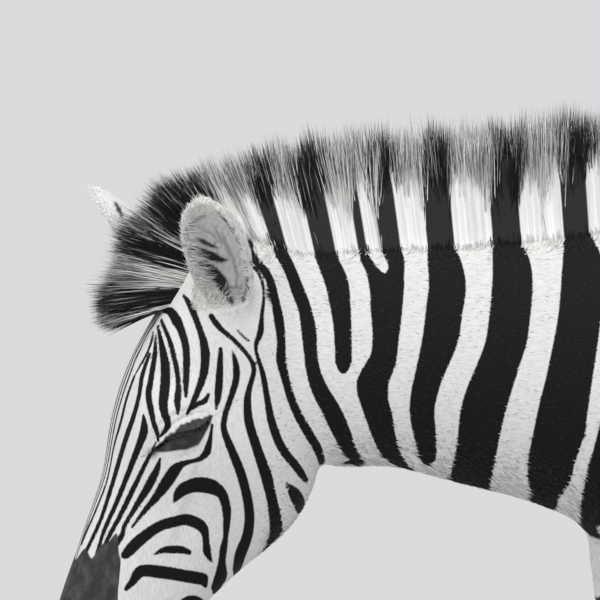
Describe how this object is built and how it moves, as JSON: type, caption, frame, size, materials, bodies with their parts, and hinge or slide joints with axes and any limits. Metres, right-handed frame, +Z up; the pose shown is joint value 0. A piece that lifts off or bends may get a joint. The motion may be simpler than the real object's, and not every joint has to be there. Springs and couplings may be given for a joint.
{
  "type": "zebra",
  "caption": "Life-size standing plains zebra with a low, dozing head, upright mane, forelock and tufted tail, as a still museum model.",
  "frame": {"origin": "on the floor, under the middle of the animal's bounding box", "axes": "+Z up, the animal faces -X, its left side is toward -Y"},
  "size_m": [2.0134, 0.4636, 1.399],
  "materials": {
    "coat": "short hair lying flat, crisp black and white stripes",
    "long_hair": "coarse upright hair, black, with white locks that turn dark toward the tips",
    "muzzle_skin": "soft dark skin with velvety short hair",
    "eye": "dark, wet",
    "hoof": "dark horn with fine rings"
  },
  "bodies": {
    "root": {"head": "coat", "muzzle": "muzzle_skin", "ear_left": "coat", "ear_right": "coat", "eye_left": "eye", "eye_right": "eye", "neck_upper": "coat", "neck_lower": "coat", "trunk_front": "coat", "trunk_middle": "coat", "trunk_rear": "coat", "foreleg_left_upper": "coat", "foreleg_left_lower": "coat", "foreleg_right_upper": "coat", "foreleg_right_lower": "coat", "hindleg_left_upper": "coat", "hindleg_left_lower": "coat", "hindleg_right_upper": "coat", "hindleg_right_lower": "coat", "hoof_fore_left": "hoof", "hoof_fore_right": "hoof", "hoof_hind_left": "hoof", "hoof_hind_right": "hoof", "tail_dock": "coat", "tail_tuft": "long_hair", "mane_front": "long_hair", "mane_middle": "long_hair", "mane_rear": "long_hair", "forelock": "long_hair"}
  },
  "joints": []
}
